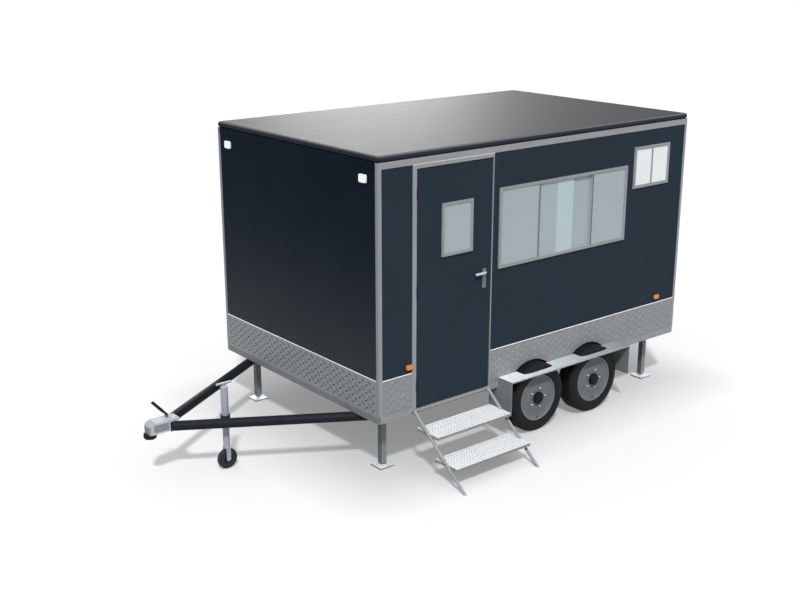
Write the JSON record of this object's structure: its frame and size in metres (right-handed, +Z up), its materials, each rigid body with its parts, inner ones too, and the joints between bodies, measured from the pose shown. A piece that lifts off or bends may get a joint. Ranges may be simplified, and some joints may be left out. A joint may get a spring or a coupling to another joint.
{
  "type": "portable site cabin",
  "caption": "Towable site cabin: flat-roofed panelled body with a side door, steps and windows, on a wheeled chassis with drawbar, jockey wheel and corner legs.",
  "frame": {"origin": "on the ground under the middle of the whole part's bounding box", "axes": "+X towards the rear, away from the drawbar; +Y towards the side without the door; +Z up"},
  "size_m": [5.134, 3.119, 2.621],
  "materials": {
    "charcoal_panel": "satin charcoal-blue faced panels",
    "roof_sheet": "glossy dark roof sheet with rounded edge",
    "mill_aluminium": "mill-finish aluminium trims and window frames",
    "checker_plate": "aluminium checker plate",
    "galvanised_steel": "galvanised chassis steel",
    "black_steel": "dark painted steel",
    "floor_board": "coated plywood deck",
    "clear_glass": "clear glazing",
    "tyre_rubber": "black tyre rubber",
    "wheel_steel": "grey painted pressed wheel",
    "cast_coupling": "zinc plated coupling housing",
    "black_plastic": "black moulded plastic",
    "amber_lens": "amber lamp lens",
    "white_lens": "white lamp lens",
    "red_lens": "red lamp lens",
    "handle_metal": "polished door furniture",
    "step_plate": "pierced step treads"
  },
  "bodies": {
    "cabin": {"floor": "floor_board", "front_wall": "charcoal_panel", "rear_wall": "charcoal_panel", "far_wall": "charcoal_panel", "door_wall_front": "charcoal_panel", "door_wall_header": "charcoal_panel", "door_wall_rear": "charcoal_panel", "roof": "roof_sheet", "corner_posts": "mill_aluminium", "side_top_trims": "mill_aluminium", "end_top_trims": "black_steel", "skirt_plates": "checker_plate", "chassis_rails": "galvanised_steel", "end_rails": "galvanised_steel", "door_jambs": "mill_aluminium", "door_head": "mill_aluminium", "door_sill": "mill_aluminium", "hinge_fixed_halves": "black_steel", "window_frames": "mill_aluminium", "window_glass": "clear_glass", "side_markers": "amber_lens", "front_markers": "white_lens", "rear_markers": "red_lens", "mudguards": "galvanised_steel", "wheel_arches": "black_steel", "axles": "galvanised_steel", "drawbar_tubes": "black_steel", "drawbar_plate": "black_steel", "coupling_head": "cast_coupling", "ball_cup": "black_plastic", "jockey_outer_tube": "galvanised_steel", "jockey_clamp": "galvanised_steel", "leg_brackets": "galvanised_steel", "step_stringers": "galvanised_steel", "step_treads": "step_plate"},
    "door": {"door_leaf": "charcoal_panel", "door_window_frame": "mill_aluminium", "door_window_glass": "clear_glass", "door_handle_plate": "handle_metal", "hinge_moving_halves": "black_steel"},
    "door_lever": {"door_lever": "handle_metal"},
    "coupling_lever": {"coupling_lever": "black_plastic"},
    "jockey_inner": {"jockey_inner_tube": "galvanised_steel"},
    "jockey_fork": {"jockey_fork": "black_steel"},
    "jockey_wheel": {"jockey_wheel": "black_plastic"},
    "jockey_handle": {"jockey_handle": "galvanised_steel"},
    "wheel_front_door_side": {"tyre_front_door_side": "tyre_rubber", "wheel_front_door_side": "wheel_steel"},
    "leg_front_door_side": {"leg_front_door_side": "galvanised_steel"},
    "wheel_front_far_side": {"tyre_front_far_side": "tyre_rubber", "wheel_front_far_side": "wheel_steel"},
    "leg_front_far_side": {"leg_front_far_side": "galvanised_steel"},
    "wheel_rear_door_side": {"tyre_rear_door_side": "tyre_rubber", "wheel_rear_door_side": "wheel_steel"},
    "leg_rear_door_side": {"leg_rear_door_side": "galvanised_steel"},
    "wheel_rear_far_side": {"tyre_rear_far_side": "tyre_rubber", "wheel_rear_far_side": "wheel_steel"},
    "leg_rear_far_side": {"leg_rear_far_side": "galvanised_steel"}
  },
  "joints": [
    {"name": "door_swing", "type": "hinge", "parent": "cabin", "child": "door", "pos_m": [-0.7245, -0.9265, 1.5035], "axis": [0, 0, -1], "range_deg": [0, 110]},
    {"name": "door_lever_turn", "type": "hinge", "parent": "door", "child": "door_lever", "pos_m": [-0.008, -0.9185, 1.545], "axis": [0, -1, 0], "range_deg": [0, 40], "stiffness_Nm_per_rad": 1.2, "springref_deg": -22.92},
    {"name": "coupling_lever_lift", "type": "hinge", "parent": "cabin", "child": "coupling_lever", "pos_m": [-2.351, 0.2345, 0.518], "axis": [0, 1, 0], "range_deg": [-36, 45]},
    {"name": "jockey_lift", "type": "slide", "parent": "cabin", "child": "jockey_inner", "axis": [0, 0, 1], "range_m": [0, 0.185]},
    {"name": "jockey_swivel", "type": "hinge", "parent": "jockey_inner", "child": "jockey_fork", "pos_m": [-1.931, 0.05336, 0.191], "axis": [0, 0, 1], "continuous": true},
    {"name": "jockey_wheel_spin", "type": "hinge", "parent": "jockey_fork", "child": "jockey_wheel", "pos_m": [-1.931, 0.05336, 0.087], "axis": [0, 1, 0], "continuous": true},
    {"name": "jockey_handle_turn", "type": "hinge", "parent": "cabin", "child": "jockey_handle", "pos_m": [-1.931, 0.05336, 0.715], "axis": [0, 0, 1], "continuous": true},
    {"name": "wheel_front_door_side_spin", "type": "hinge", "parent": "cabin", "child": "wheel_front_door_side", "pos_m": [0.588, -0.938, 0.312], "axis": [0, 1, 0], "continuous": true},
    {"name": "leg_front_door_side_fold", "type": "hinge", "parent": "cabin", "child": "leg_front_door_side", "pos_m": [-0.918, -0.7155, 0.43805], "axis": [0, -1, 0], "range_deg": [0, 80]},
    {"name": "wheel_front_far_side_spin", "type": "hinge", "parent": "cabin", "child": "wheel_front_far_side", "pos_m": [0.588, 1.407, 0.312], "axis": [0, 1, 0], "continuous": true},
    {"name": "leg_front_far_side_fold", "type": "hinge", "parent": "cabin", "child": "leg_front_far_side", "pos_m": [-0.918, 1.1845, 0.43805], "axis": [0, -1, 0], "range_deg": [0, 80]},
    {"name": "wheel_rear_door_side_spin", "type": "hinge", "parent": "cabin", "child": "wheel_rear_door_side", "pos_m": [1.307, -0.938, 0.312], "axis": [0, 1, 0], "continuous": true},
    {"name": "leg_rear_door_side_fold", "type": "hinge", "parent": "cabin", "child": "leg_rear_door_side", "pos_m": [2.36, -0.7155, 0.43805], "axis": [0, 1, 0], "range_deg": [0, 80]},
    {"name": "wheel_rear_far_side_spin", "type": "hinge", "parent": "cabin", "child": "wheel_rear_far_side", "pos_m": [1.307, 1.407, 0.312], "axis": [0, 1, 0], "continuous": true},
    {"name": "leg_rear_far_side_fold", "type": "hinge", "parent": "cabin", "child": "leg_rear_far_side", "pos_m": [2.36, 1.1845, 0.43805], "axis": [0, 1, 0], "range_deg": [0, 80]}
  ]
}
